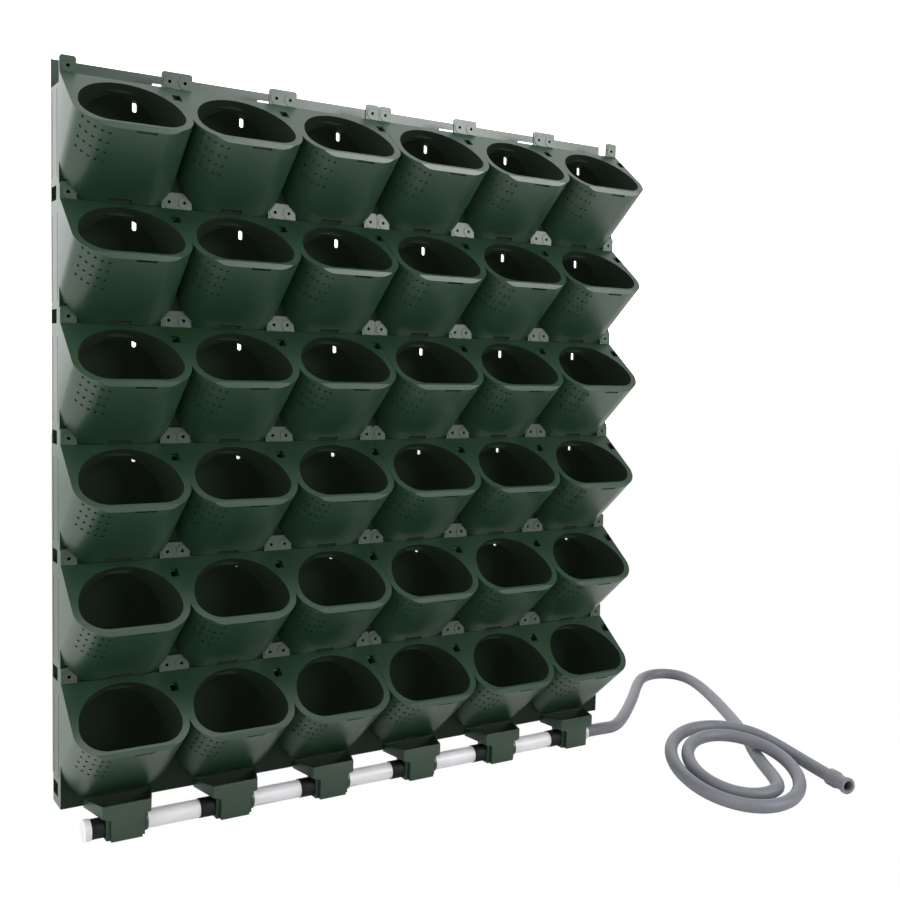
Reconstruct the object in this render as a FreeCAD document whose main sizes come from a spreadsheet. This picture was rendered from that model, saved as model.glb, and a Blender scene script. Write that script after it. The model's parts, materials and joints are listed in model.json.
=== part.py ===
import FreeCAD, Part
import math
import os
import Sketcher
from FreeCAD import Placement, Rotation, Vector

# Self-watering vertical wall planter: six rows of two pocket panels that stack into each other,
# a soil grid over the water store of every pocket, and a drain line with a hose along the bottom.
# The wall is the plane Y = 0, the pockets face -Y, +Z is up.
# The origin is on the wall, midway between the screw slots of the bottom row.

doc = FreeCAD.newDocument("wall_planter")
sheet = doc.addObject("Spreadsheet::Sheet", "dim")

# Driving dimensions in millimetres and degrees
sizes = {
    "pocket_pitch": 150,
    "row_pitch": 155,
    "seam_gap": 0.6,
    "fit_gap": 0.5,
    "touch_gap": 0.3,
    "panel_depth": 44,
    "panel_wall": 3,
    "deck_angle": 38.5,
    "deck_length": 76,
    "deck_rise": 12.5,
    "spout_angle": 49,
    "corner_radius": 42,
    "rim_width": 9,
    "tab_height": 24,
    "tab_width": 41,
    "tab_thickness": 3,
    "screw_slot_height": 178,
    "screw_slot_length": 40,
    "screw_slot_width": 6.5,
    "pocket_slot_length": 12.5,
    "pocket_slot_width": 6,
    "pocket_slot_spread": 64,
    "drip_hole_length": 10,
    "drip_hole_width": 6,
    "drip_hole_offset": 7,
    "drip_hole_back": 44,
    "drain_slot_length": 30,
    "drain_slot_width": 6,
    "grid_height": 22,
    "grid_thickness": 2.5,
    "wick_slot_length": 90,
    "wick_slot_width": 8,
    "hopper_rear_width": 92,
    "hopper_front_width": 64,
    "hopper_reach": 42,
    "hopper_height": 11.5,
    "hopper_taper": 9,
    "sump_width": 41,
    "sump_depth": 39,
    "sump_height": 29,
    "collector_wall": 2.4,
    "flange_width": 60,
    "flange_depth": 30,
    "pipe_diameter": 25,
    "pipe_wall": 2,
    "pipe_gap": 0.2,
    "pipe_insertion": 9,
    "pipe_out": 66,
    "pipe_drop": 34.5,
    "socket_width": 29,
    "socket_length": 5,
    "nipple_length": 18,
    "cap_diameter": 29,
    "cap_length": 8,
    "cap_spigot_length": 12,
    "outlet_length": 8,
    "hose_diameter": 20,
    "floor_drop": 51.5,
    "nozzle_length": 44,
    "nozzle_diameter": 26,
    "nozzle_tip": 22,
    "nozzle_bore": 15,
    "coil_radius": 72,
    "coil_step": 24,
    "coil_tilt": 6.2,
}
for line, (alias, value) in enumerate(sizes.items(), 1):
    sheet.set(f"A{line}", alias)
    sheet.set(f"B{line}", str(value))
    sheet.setAlias(f"B{line}", alias)
doc.recompute()

# Counts
rows = 6
stacks = ("left", "right")
bays = (-1, 0, 1)

# Places worked out from the driving dimensions, as formulas; depths are measured forward from the wall
# and heights up from the lower edge of a panel.
panel_width = "(dim.pocket_pitch * 3 - dim.seam_gap)"
face = "dim.panel_depth"
inner_face = "(dim.panel_depth - dim.panel_wall)"
tab_back = "(dim.panel_depth + dim.fit_gap)"
tab_front = "(dim.panel_depth + dim.fit_gap + dim.tab_thickness)"
ledge = "dim.row_pitch"
chamber_top = "(dim.row_pitch - dim.panel_wall)"
deck_back = "(dim.row_pitch + dim.deck_rise)"
panel_top = "(dim.row_pitch + dim.deck_rise + dim.tab_height)"
nest_step = "(dim.deck_rise + dim.tab_height + dim.fit_gap)"
nest_back = "(dim.panel_wall + dim.fit_gap)"
rim_out = "(dim.panel_depth + dim.fit_gap + dim.tab_thickness + dim.deck_length * cos(dim.deck_angle))"
rim_up = "(dim.row_pitch + dim.deck_rise - dim.deck_length * sin(dim.deck_angle))"
tab_clear = "(dim.panel_depth + 2 * dim.fit_gap + dim.tab_thickness)"
strip_clear = "(dim.deck_rise + dim.fit_gap)"
spout_front = f"({rim_out} + dim.corner_radius * cos(dim.spout_angle) - {face})"
spout_foot = f"({rim_up} - dim.corner_radius * sin(dim.spout_angle) - {spout_front} / tan(dim.spout_angle))"
chamber_width = "(dim.pocket_pitch - 2 * dim.rim_width)"
rib_width = "(2 * dim.rim_width - 2 * dim.panel_wall)"
spout_length = "(dim.panel_depth * 3 + dim.corner_radius)"
overshoot = "dim.panel_wall"


def number(formula):
    return float(sheet.evalExpression(formula))


def bind(item, **formulas):
    for name, formula in formulas.items():
        item.setExpression(name.replace("__", "."), formula)
    return item


def move(item, x="0", y="0", z="0"):
    return bind(item, Placement__Base__x=x, Placement__Base__y=y, Placement__Base__z=z)


def limit(sketch, kind, places, formula):
    index = sketch.addConstraint(Sketcher.Constraint(kind, *places, number(formula)))
    sketch.setExpression(f"Constraints[{index}]", formula)


def pin(sketch, line, kind, formula):
    start = (line, 1)
    origin = (-1, 1)
    if formula == "0":
        axis = -2 if kind == "DistanceX" else -1
        sketch.addConstraint(Sketcher.Constraint("PointOnObject", *start, axis))
    elif formula.startswith("-"):
        limit(sketch, kind, start + origin, formula[1:])
    else:
        limit(sketch, kind, origin + start, formula)


def polygon(sketch, corners):
    points = [Vector(number(x), number(y), 0) for x, y in corners]
    count = len(points)
    for i in range(count):
        sketch.addGeometry(Part.LineSegment(points[i], points[(i + 1) % count]))
    for i in range(count):
        sketch.addConstraint(Sketcher.Constraint("Coincident", i, 2, (i + 1) % count, 1))
    for i, (x, y) in enumerate(corners):
        pin(sketch, i, "DistanceX", x)
        pin(sketch, i, "DistanceY", y)
    return sketch


def free_sketch(name, rotation):
    sketch = doc.addObject("Sketcher::SketchObject", name)
    sketch.Placement = Placement(Vector(), rotation)
    return sketch


def side_sketch(name, corners):
    # a section across the panel: first number forward from the wall, second number up
    return polygon(free_sketch(name, Rotation(Vector(0, -1, 0), Vector(0, 0, 1), Vector(-1, 0, 0))), corners)


def across(name, sketch, width, x="0"):
    item = doc.addObject("Part::Extrusion", name)
    item.Base = sketch
    item.DirMode = "Normal"
    item.Solid = True
    item.Symmetric = True
    return move(bind(item, LengthFwd=width), x=x)


def block(name, x, y, z, length, depth, height):
    # a box whose x is its middle, y its front face forward from the wall, z its lower face
    item = doc.addObject("Part::Box", name)
    bind(item, Length=length, Width=depth, Height=height)
    return move(item, f"{x} - {length} / 2", f"-({y})", z)


def rod(name, radius, length, x, y, z, axis):
    item = doc.addObject("Part::Cylinder", name)
    item.Placement = Placement(Vector(), Rotation(Vector(0, 0, 1), axis))
    bind(item, Radius=radius, Height=length)
    return move(item, x, y, z)


def gather(kind, name, items):
    item = doc.addObject(f"Part::Multi{kind}", name)
    item.Shapes = items
    return item


def cut(name, base, tool):
    item = doc.addObject("Part::Cut", name)
    item.Base = base
    item.Tool = tool
    item.Refine = True
    return item


# Pocket panel: a moulding with three slanted pockets in front of water chambers

def spout_sketch(name, bay):
    # a sketch square to the slanted axis of a pocket, lifted clear of the deck
    sketch = free_sketch(name, Rotation(Vector(1, 0, 0), number("dim.spout_angle")))
    sketch.setExpression("Placement.Rotation.Angle", "dim.spout_angle")
    return move(
        sketch,
        f"dim.pocket_pitch * {bay}",
        f"-({rim_out}) - dim.corner_radius * sin(dim.spout_angle)",
        f"{rim_up} + dim.corner_radius * cos(dim.spout_angle)",
    )


def down_spout(name, sketch):
    item = doc.addObject("Part::Extrusion", name)
    item.Base = sketch
    item.DirMode = "Normal"
    item.Reversed = True
    item.Solid = True
    return bind(item, LengthFwd=spout_length)


def joined(sketch, pairs):
    for first, second in pairs:
        sketch.addConstraint(Sketcher.Constraint("Tangent", first, 2, second, 1))


def quarter(x, radius, start):
    circle = Part.Circle(Vector(x, 0, 0), Vector(0, 0, 1), radius)
    return Part.ArcOfCircle(circle, start, start + math.pi / 2)


def pocket_front(bay):
    # outside of one pocket: straight sides at the deck, a flat front with large round corners
    sketch = spout_sketch(f"front_outline_{bay + 2}", bay)
    half = number("dim.pocket_pitch / 2")
    radius = number("dim.corner_radius")
    length = number("dim.deck_length")
    flat = half - radius
    sketch.addGeometry(Part.LineSegment(Vector(-half, length, 0), Vector(-half, 0, 0)))
    sketch.addGeometry(quarter(-flat, radius, math.pi))
    sketch.addGeometry(Part.LineSegment(Vector(-flat, -radius, 0), Vector(flat, -radius, 0)))
    sketch.addGeometry(quarter(flat, radius, 1.5 * math.pi))
    sketch.addGeometry(Part.LineSegment(Vector(half, 0, 0), Vector(half, length, 0)))
    sketch.addGeometry(Part.LineSegment(Vector(half, length, 0), Vector(-half, length, 0)))
    joined(sketch, ((0, 1), (1, 2), (2, 3), (3, 4)))
    sketch.addConstraint(Sketcher.Constraint("Coincident", 4, 2, 5, 1))
    sketch.addConstraint(Sketcher.Constraint("Coincident", 5, 2, 0, 1))
    for side in (0, 4):
        sketch.addConstraint(Sketcher.Constraint("Vertical", side))
    for end in (2, 5):
        sketch.addConstraint(Sketcher.Constraint("Horizontal", end))
    for corner in (1, 3):
        sketch.addConstraint(Sketcher.Constraint("PointOnObject", corner, 3, -1))
    limit(sketch, "Radius", (1,), "dim.corner_radius")
    limit(sketch, "DistanceX", (-1, 1, 4, 2), "dim.pocket_pitch / 2")
    limit(sketch, "DistanceX", (5, 2, 5, 1), "dim.pocket_pitch")
    limit(sketch, "DistanceY", (-1, 1, 4, 2), "dim.deck_length")
    return down_spout(f"front_{bay + 2}", sketch)


def pocket_bore(bay):
    # inside of a pocket: half round at the back, flat front, round front corners
    sketch = spout_sketch(f"bore_outline_{bay + 2}", bay)
    corner = "dim.corner_radius - dim.rim_width"
    back = "dim.pocket_pitch / 2 - dim.rim_width"
    radius = number(corner)
    half = number(back)
    flat = half - radius
    sketch.addGeometry(Part.LineSegment(Vector(-flat, -radius, 0), Vector(flat, -radius, 0)))
    sketch.addGeometry(quarter(flat, radius, 1.5 * math.pi))
    sketch.addGeometry(Part.ArcOfCircle(Part.Circle(Vector(), Vector(0, 0, 1), half), 0, math.pi))
    sketch.addGeometry(quarter(-flat, radius, math.pi))
    joined(sketch, ((0, 1), (1, 2), (2, 3), (3, 0)))
    sketch.addConstraint(Sketcher.Constraint("Coincident", 2, 3, -1, 1))
    sketch.addConstraint(Sketcher.Constraint("Horizontal", 0))
    for corner_arc in (1, 3):
        sketch.addConstraint(Sketcher.Constraint("PointOnObject", corner_arc, 3, -1))
    limit(sketch, "Radius", (1,), corner)
    limit(sketch, "Radius", (2,), back)
    return down_spout(f"bore_{bay + 2}", sketch)


def drip_passage(bay):
    # a passage for the drip line from the deck down into the hollow rib beside the pocket
    sketch = spout_sketch(f"drip_outline_{bay + 2}", bay)
    right = "(dim.pocket_pitch / 2 - dim.drip_hole_offset + dim.drip_hole_width / 2)"
    left = "(dim.pocket_pitch / 2 - dim.drip_hole_offset - dim.drip_hole_width / 2)"
    front = "dim.drip_hole_back"
    back = "(dim.drip_hole_back + dim.drip_hole_length)"
    polygon(sketch, ((left, front), (right, front), (right, back), (left, back)))
    return down_spout(f"drip_passage_{bay + 2}", sketch)


far_out = "(dim.panel_depth * 5)"
far_down = "-(dim.row_pitch)"
far_up = "(dim.row_pitch * 2)"


def front_zone():
    # everything below the sloping deck and in front of the panel's face, clear of the strip of the panel below
    inside = "(dim.panel_depth - dim.panel_wall / 2)"
    section = side_sketch("front_zone_section", (
        (inside, strip_clear), (inside, chamber_top), (tab_front, chamber_top), (tab_front, deck_back),
        (far_out, f"({deck_back} - ({far_out} - {tab_front}) * tan(dim.deck_angle))"), (far_out, far_down),
        (tab_clear, far_down), (tab_clear, strip_clear)))
    return across("front_zone", section, panel_width)


def bore_zone():
    # a pocket opens in front of the tabs and below the ledge, where its chamber begins
    section = side_sketch("bore_zone_section", (
        (inner_face, far_down), (inner_face, chamber_top), (tab_front, chamber_top), (tab_front, far_up),
        (far_out, far_up), (far_out, far_down)))
    return across("bore_zone", section, panel_width)


def tab_places():
    # middle and width of every tab: whole ones between pockets, halves at the ends of the panel
    for side in (-1, 1):
        yield f"inner_{side + 2}", f"dim.pocket_pitch * {side} / 2", "dim.tab_width"
        yield f"end_{side + 2}", f"({panel_width} / 2 - dim.tab_width / 4) * {side}", "dim.tab_width / 2"


def tab_rooms(name, margin):
    # room behind the pockets for the tabs of the panel below, with a margin round it
    rooms = []
    for place, middle, width in tab_places():
        rooms.append(block(f"{name}_{place}", middle, f"({tab_clear} + {margin})", "0",
                           f"({width} + 2 * dim.fit_gap + 2 * {margin})",
                           f"({tab_clear} - {face} + {margin})", f"({nest_step} + {margin})"))
    return gather("Fuse", name, rooms)


def pocket_panel():
    housing_section = side_sketch("housing_section", (
        ("0", nest_step), ("0", panel_top), ("dim.panel_wall", panel_top), ("dim.panel_wall", ledge),
        (tab_back, ledge), (tab_back, deck_back), (tab_front, deck_back), (tab_front, chamber_top),
        (face, chamber_top), (face, "0"), (nest_back, "0"), (nest_back, nest_step)))
    housing = across("housing", housing_section, panel_width)
    fronts = gather("Fuse", "fronts", [pocket_front(bay) for bay in bays])
    front_part = gather("Common", "front_part", [fronts, front_zone()])
    tabs = []
    for place, middle, width in tab_places():
        tabs.append(block(f"tab_{place}", middle, tab_front, deck_back, width, "dim.tab_thickness",
                          "dim.tab_height"))
    whole = gather("Fuse", "panel_outside", [housing, front_part] + tabs)

    bores = gather("Fuse", "bores", [pocket_bore(bay) for bay in bays] + [drip_passage(bay) for bay in bays])
    open_bores = cut("open_bores", bores, tab_rooms("tab_room_walls", "dim.panel_wall"))
    spaces = [gather("Common", "bore_space", [open_bores, bore_zone()]), tab_rooms("tab_rooms", "0")]
    low_back = f"({nest_back} + dim.panel_wall)"
    low_top = f"({nest_step} + dim.panel_wall)"
    chamber_section = side_sketch("chamber_section", (
        ("dim.panel_wall", low_top), ("dim.panel_wall", chamber_top), (inner_face, chamber_top),
        (inner_face, "dim.panel_wall"), (low_back, "dim.panel_wall"), (low_back, low_top)))
    for bay in bays:
        middle = f"dim.pocket_pitch * {bay}"
        spaces.append(across(f"chamber_{bay + 2}", chamber_section, chamber_width, middle))
        spaces.append(block(f"drain_{bay + 2}", middle, f"({face} + dim.panel_wall + dim.drain_slot_width)",
                            "dim.panel_wall", "dim.drain_slot_length", "dim.drain_slot_width",
                            "dim.deck_rise * 2"))
        for side in (-1, 1):
            spaces.append(block(f"pocket_slot_{bay + 2}_{side + 2}",
                                f"({middle} + dim.pocket_slot_spread / 2 * {side})",
                                overshoot + " * 2", f"({chamber_top} - dim.pocket_slot_length)",
                                "dim.pocket_slot_width", "dim.panel_wall * 3", "dim.pocket_slot_length"))
    for side in (-1, 1):
        middle = f"dim.pocket_pitch * {side} / 2"
        spaces.append(block(f"rib_{side + 2}", middle, inner_face, low_top, rib_width,
                            f"({inner_face} + {overshoot})", f"({chamber_top} - {low_top})"))
        run = "(dim.screw_slot_length - dim.screw_slot_width)"
        spaces.append(block(f"screw_slot_{side + 2}", middle, overshoot + " * 2",
                            "(dim.screw_slot_height - dim.screw_slot_width / 2)", run,
                            "dim.panel_wall * 3", "dim.screw_slot_width"))
        for end in (-1, 1):
            spaces.append(rod(f"screw_slot_end_{side + 2}_{end + 2}", "dim.screw_slot_width / 2",
                              "dim.panel_wall * 3", f"({middle} + {run} / 2 * {end})",
                              f"-({overshoot}) * 2", "dim.screw_slot_height", Vector(0, 1, 0)))
    return cut("pocket_panel", whole, gather("Fuse", "panel_spaces", spaces))


# Soil grid: a slotted table that stands in the water chamber and carries the soil above the water

def plane(body, role):
    return next(item for item in body.Origin.OriginFeatures if item.Role == role)


def body_sketch(body, name, role):
    sketch = body.newObject("Sketcher::SketchObject", name)
    sketch.AttachmentSupport = [(plane(body, role), "")]
    sketch.MapMode = "FlatFace"
    return sketch


def soil_grid():
    body = doc.addObject("PartDesign::Body", "soil_grid")
    half = f"({chamber_width} / 2 - dim.fit_gap)"
    leg = f"({chamber_width} / 2 - dim.fit_gap - dim.grid_thickness * 2)"
    foot = "dim.panel_wall"
    top = "(dim.panel_wall + dim.grid_height)"
    under = "(dim.panel_wall + dim.grid_height - dim.grid_thickness)"
    back = f"({nest_back} + dim.panel_wall + dim.fit_gap)"
    front = f"({inner_face} - dim.fit_gap)"
    table = polygon(body_sketch(body, "grid_table", "XZ_Plane"), (
        (f"-{half}", foot), (f"-{half}", top), (half, top), (half, foot),
        (leg, foot), (leg, under), (f"-{leg}", under), (f"-{leg}", foot)))
    bind(table, AttachmentOffset__Base__z=back)
    pad = body.newObject("PartDesign::Pad", "grid_plate")
    pad.Profile = table
    bind(pad, Length=f"({front} - {back})")
    doc.recompute()
    middle = f"(({front} + {back}) / 2)"
    half_slot = "(dim.wick_slot_length / 2)"
    near = f"-({middle} - dim.wick_slot_width / 2)"
    far = f"-({middle} + dim.wick_slot_width / 2)"
    slot = polygon(body_sketch(body, "wick_outline", "XY_Plane"), (
        (f"-{half_slot}", near), (half_slot, near), (half_slot, far), (f"-{half_slot}", far)))
    opening = body.newObject("PartDesign::Pocket", "wick_slot")
    opening.Profile = slot
    opening.Type = "ThroughAll"
    opening.Midplane = True
    return body


# Drain collector: a hopper under a bottom pocket that narrows to a sump with a pipe socket on each side

hopper_top = f"({spout_foot} - dim.touch_gap)"
taper_top = f"({hopper_top} - dim.hopper_height)"
sump_top = f"({taper_top} - dim.hopper_taper)"
sump_floor = f"({sump_top} - dim.sump_height)"
flange_top = f"min(0; {hopper_top})"
line_axis = f"({hopper_top} - dim.pipe_drop)"
hopper_back = "(dim.panel_depth + dim.touch_gap)"
hopper_front = "(dim.panel_depth + dim.touch_gap + dim.hopper_reach)"


def hopper(name, wall, top, floor):
    # hopper, taper and sump as what a front, a side and a top outline share, drawn in by a wall thickness
    rear = f"(dim.hopper_rear_width / 2 - {wall})"
    nose = f"(dim.hopper_front_width / 2 - {wall})"
    side = f"(dim.sump_width / 2 - {wall})"
    back = f"({hopper_back} + {wall})"
    front = f"({hopper_front} - {wall})"
    sump_back = f"({hopper_front} - dim.sump_depth + {wall})"
    height = f"({top} - {floor})"
    taper = f"({taper_top} - {floor})"
    sump = f"({sump_top} - {floor})"
    frontal = polygon(free_sketch(f"{name}_front", Rotation(Vector(1, 0, 0), 90)), (
        (f"-{rear}", height), (f"-{rear}", taper), (f"-{side}", sump), (f"-{side}", "0"),
        (side, "0"), (side, sump), (rear, taper), (rear, height)))
    lateral = side_sketch(f"{name}_side", (
        (back, height), (back, taper), (sump_back, sump), (sump_back, "0"), (front, "0"), (front, height)))
    level = polygon(free_sketch(f"{name}_top", Rotation()), (
        (f"-{nose}", f"-{front}"), (nose, f"-{front}"), (rear, f"-{back}"), (f"-{rear}", f"-{back}")))
    seen = []
    reaches = (f"({front} * 2)", "dim.hopper_rear_width", f"({height} * 2)")
    for outline, reach in zip((frontal, lateral, level), reaches):
        seen.append(across(f"{outline.Name}_block", outline, reach))
    return move(gather("Common", name, seen), z=floor)


def drain_collector():
    solids = [hopper("hopper_outside", "0", hopper_top, sump_floor)]
    solids.append(block("socket_pair", "0", "(dim.pipe_out + dim.socket_width / 2)",
                        f"({line_axis} - dim.socket_width / 2)", "(dim.sump_width + 2 * dim.socket_length)",
                        "dim.socket_width", "dim.socket_width"))
    solids.append(block("hang_flange", "0", f"({hopper_back} + dim.collector_wall)",
                        f"({flange_top} - dim.collector_wall)",
                        "dim.flange_width", f"(dim.flange_depth + dim.collector_wall)", "dim.collector_wall"))
    over = f"({hopper_top} + {overshoot})"
    under = f"({sump_floor} + dim.collector_wall)"
    spaces = [hopper("hopper_inside", "dim.collector_wall", over, under)]
    reach = "(dim.sump_width + 4 * dim.socket_length)"
    spaces.append(rod("socket_bore", "(dim.pipe_diameter / 2 + dim.pipe_gap)", reach, f"-{reach} / 2",
                      "-dim.pipe_out", line_axis, Vector(1, 0, 0)))
    return cut("drain_collector", gather("Fuse", "collector_outside", solids),
               gather("Fuse", "collector_spaces", spaces))


# Drain line: clear pipes between the collectors, a capped nipple at one end, a hose ring at the other

def pipe(name, length, bore, start, axis=Vector(1, 0, 0)):
    outside = rod(f"{name}_outside", "dim.pipe_diameter / 2", length, start, "0", "0", axis)
    inside = rod(f"{name}_inside", bore, f"({length} + 2 * {overshoot})", f"{start} - {overshoot}",
                 "0", "0", axis)
    return cut(name, outside, inside)


pipe_bore = "(dim.pipe_diameter / 2 - dim.pipe_wall)"
line_end = "(dim.sump_width / 2 + dim.socket_length)"


def turned(name, corners):
    # a piece turned about the X axis from a section that starts on the axis
    body = doc.addObject("PartDesign::Body", name)
    section = polygon(body_sketch(body, f"{name}_section", "XZ_Plane"), corners)
    turn = body.newObject("PartDesign::Revolution", f"{name}_turn")
    turn.Profile = section
    turn.ReferenceAxis = (section, ["H_Axis"])
    turn.Angle = 360
    return body


def end_cap():
    spigot = f"({pipe_bore} - dim.pipe_gap)"
    edge = "(dim.cap_diameter / 2)"
    return turned("cap_shape", (
        ("0", "0"), ("0", edge), ("dim.cap_length", edge), ("dim.cap_length", spigot),
        ("(dim.cap_length + dim.cap_spigot_length)", spigot),
        ("(dim.cap_length + dim.cap_spigot_length)", "0")))


def outlet_ring():
    bore = "(dim.hose_diameter / 2 - dim.pipe_wall)"
    edge = "(dim.pipe_diameter / 2)"
    end = "(dim.pipe_insertion + dim.outlet_length)"
    return turned("outlet_shape", (("0", bore), ("0", edge), (end, edge), (end, bore)))


def nozzle():
    bore = "(dim.nozzle_bore / 2)"
    tip = "(dim.nozzle_tip / 2)"
    lip = "(dim.nozzle_diameter / 2)"
    cuff = "(dim.nozzle_length / 2)"
    return turned("nozzle_shape", (
        ("0", bore), ("0", lip), (cuff, lip), (cuff, tip), ("dim.nozzle_length", tip), ("dim.nozzle_length", bore)))


# Hose: a limp smooth hose that lies on the floor, two loops and a short tail with a nozzle

def size(alias):
    return number(f"dim.{alias}")


hose_radius = size("hose_diameter") / 2
pipe_level = number(f"{line_axis} - dim.screw_slot_height")
floor_level = number(f"{hopper_top} - dim.floor_drop - dim.screw_slot_height")
lying = floor_level + hose_radius
last_collector = size("pocket_pitch") * 2.5
hose_start = last_collector + number(line_end) + size("outlet_length")

coil_middle = Vector(497, -287, 0)
coil_rise = Vector(0.8, 0.6, 0)
coil_entry = math.radians(-60)


def coil_arcs():
    # half turns about two centres in turn, so the radius grows by one step each half turn
    arcs = []
    radius = size("coil_radius")
    step = size("coil_step")
    start = coil_entry
    for half_turn in range(4):
        centre = Vector(step * (half_turn % 2), 0, 0)
        end = -math.pi * (half_turn + 1)
        arcs.append((centre, radius + step * half_turn, start, end))
        start = end
    return arcs


def on_arc(centre, radius, angle):
    return centre + Vector(radius * math.cos(angle), radius * math.sin(angle), 0)


def coil_place():
    # the loops lean on the strand that passes under them, so they tilt about a level line
    axis = Vector(-coil_rise.y, coil_rise.x, 0)
    tilt = Rotation(axis, -size("coil_tilt"))
    points = [tilt.multVec(on_arc(c, r, a + (b - a) * k / 24)) for c, r, a, b in coil_arcs() for k in range(25)]
    lowest = min(point.z for point in points)
    return Placement(Vector(coil_middle.x, coil_middle.y, lying - lowest), tilt)


hose_sides = 10


def tube(path):
    # the round section stands as an even polygon of the same area, to keep the solid light
    first = path[0]
    start = first.valueAt(first.FirstParameter)
    heading = first.tangentAt(first.FirstParameter)
    turn = Rotation(Vector(0, 0, 1), heading)
    step = 2 * math.pi / hose_sides
    corner = hose_radius * math.sqrt(step / math.sin(step))
    corners = [Vector(math.cos(step * k), math.sin(step * k), 0) * corner for k in range(hose_sides + 1)]
    section = Part.makePolygon([start + turn.multVec(point) for point in corners])
    return Part.Wire(path).makePipeShell([section], True, False)


def report_volume(name, shape, length):
    section = math.pi * hose_radius ** 2
    share = shape.Volume / section / length
    print(f"{name}: length {length:.1f} mm, volume over section times length {share:.4f}")


def hose_coil():
    place = coil_place()
    edges = []
    for centre, radius, start, end in coil_arcs():
        ends = [place.multVec(on_arc(centre, radius, a)) for a in (start, (start + end) / 2, end)]
        edges.append(Part.Arc(*ends).toShape())
    return edges


def route_edges(points):
    # straight runs joined by tangent arcs, each arc as large as its two runs allow
    edges = []
    radii = []
    start = points[0]
    for before, corner, after in zip(points, points[1:], points[2:]):
        back = before - corner
        ahead = after - corner
        run = min(back.Length, ahead.Length)
        back.normalize()
        ahead.normalize()
        turn = math.pi - back.getAngle(ahead)
        reach = 0.45 * run
        radii.append(reach / math.tan(turn / 2))
        inward = back + ahead
        inward.normalize()
        to_arc = radii[-1] / math.cos(turn / 2) - radii[-1]
        first = corner + back * reach
        last = corner + ahead * reach
        edges.append(Part.makeLine(start, first))
        edges.append(Part.Arc(first, corner + inward * to_arc, last).toShape())
        start = last
    edges.append(Part.makeLine(start, points[-1]))
    return edges, radii


def heading_of(edge, at_end):
    return edge.tangentAt(edge.LastParameter if at_end else edge.FirstParameter)


def least_gap(edges):
    # least clear distance between strands of the same tube, measured on points along it
    points = []
    travelled = 0.0
    for edge in edges:
        count = max(2, int(edge.Length / 4))
        for k in range(count):
            share = edge.FirstParameter + (edge.LastParameter - edge.FirstParameter) * k / count
            points.append((travelled + edge.Length * k / count, edge.valueAt(share)))
        travelled += edge.Length
    apart = 6 * hose_radius
    gaps = [a.distanceToPoint(b) for s, a in points for t, b in points if t - s > apart]
    return min(gaps) - 2 * hose_radius


coil_edges = hose_coil()
coil_start = coil_edges[0].valueAt(coil_edges[0].FirstParameter)
coil_end = coil_edges[-1].valueAt(coil_edges[-1].LastParameter)
coil_in = heading_of(coil_edges[0], False)
coil_out = heading_of(coil_edges[-1], True)

pipe_out = -size("pipe_out")
hose_route = [
    Vector(hose_start, pipe_out, pipe_level),
    Vector(hose_start + 34, pipe_out, pipe_level),
    Vector(490, -54, lying),
    Vector(560, 0, lying),
    Vector(648, 86, lying),
    Vector(727, 171, lying),
    Vector(799, 159, lying),
    Vector(829, 92, lying),
    Vector(780, 14, lying),
    Vector(718, -92, lying),
    Vector(658, -196, lying),
    Vector(610, -266, lying),
    coil_start - coil_in * 52,
    coil_start,
]
nozzle_level = floor_level + size("nozzle_diameter") / 2
nozzle_start = Vector(632, -405, nozzle_level)
nozzle_heading = Vector(-0.37, -0.93, 0).normalize()
tail_route = [
    coil_end,
    coil_end + coil_out * 36,
    nozzle_start - nozzle_heading * 36,
    nozzle_start,
]


# The pieces, each placed by row and stack
panel = pocket_panel()
grid = soil_grid()
grid_places = []
for bay in bays:
    copy = doc.addObject("App::Link", f"grid_in_pocket_{bay + 2}")
    copy.LinkedObject = grid
    grid_places.append(move(copy, x=f"dim.pocket_pitch * {bay}"))
grid_set = doc.addObject("Part::Compound", "grid_set")
grid_set.Links = grid_places
collector = drain_collector()
between = "(dim.pocket_pitch - dim.sump_width + 2 * (dim.pipe_insertion - dim.socket_length))"
link_pipe = pipe("pipe_shape", between, pipe_bore, f"(-{between} / 2)")
nipple_end = "(dim.pipe_insertion + dim.nipple_length)"
nipple = pipe("nipple_shape", nipple_end, pipe_bore, f"(-{nipple_end})")
cap = end_cap()
ring = outlet_ring()
nozzle_body = nozzle()

pieces = []


def piece(label, source, x, y, z):
    item = doc.addObject("App::Link", label)
    item.LinkedObject = source
    item.Label = label
    pieces.append(item)
    return move(item, x, y, z)


for row in range(rows):
    height = f"dim.row_pitch * {rows - 1 - row} - dim.screw_slot_height"
    for side, stack in zip((-1, 1), stacks):
        middle = f"dim.pocket_pitch * 1.5 * {side}"
        piece(f"pocket_panel_row{row + 1}_{stack}", panel, middle, "0", height)
        piece(f"soil_grids_row{row + 1}_{stack}", grid_set, middle, "0", height)

lower_edge = "-dim.screw_slot_height"
line_height = f"{line_axis} - dim.screw_slot_height"
line_depth = "-dim.pipe_out"
for column in range(6):
    middle = f"dim.pocket_pitch * {column - 2.5}"
    piece(f"drain_collector_{column + 1}", collector, middle, "0", lower_edge)
for column in range(5):
    middle = f"dim.pocket_pitch * {column - 2}"
    piece(f"link_pipe_{column + 1}", link_pipe, middle, line_depth, line_height)
first_side = f"(dim.pocket_pitch * -2.5 - {line_end} + dim.pipe_insertion)"
last_side = f"(dim.pocket_pitch * 2.5 + {line_end} - dim.pipe_insertion)"
piece("end_nipple", nipple, first_side, line_depth, line_height)
piece("end_cap", cap, f"{first_side} - {nipple_end} - dim.cap_length", line_depth, line_height)
piece("outlet_ring", ring, last_side, line_depth, line_height)


def soft_piece(label, shape):
    item = doc.addObject("Part::Feature", label)
    item.Label = label
    item.Shape = shape
    pieces.append(item)


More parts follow.
